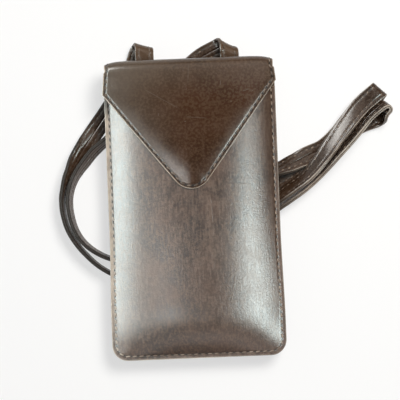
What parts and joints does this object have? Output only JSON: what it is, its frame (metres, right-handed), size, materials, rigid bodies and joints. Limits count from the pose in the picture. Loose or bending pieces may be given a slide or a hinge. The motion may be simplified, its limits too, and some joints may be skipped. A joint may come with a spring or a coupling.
{
  "type": "phone crossbody bag",
  "caption": "Slim brown leather phone pouch with a pointed front flap and sewn edges, lying face up on its long folded crossbody strap.",
  "frame": {"origin": "on the surface that the bag lies on, under the middle of the pouch, at the flat underside of the strap there", "axes": "+X to the right and +Y towards the fold at the top, as the front is seen; +Z out of the front face, up as it lies"},
  "size_m": [0.2171, 0.2058, 0.0313],
  "materials": {
    "flap_leather": "semi-gloss",
    "panel_leather": "semi-gloss",
    "strap_leather": "satin"
  },
  "bodies": {
    "root": {"back_and_flap": "flap_leather", "front_panel": "panel_leather", "strap": "strap_leather"}
  },
  "joints": []
}
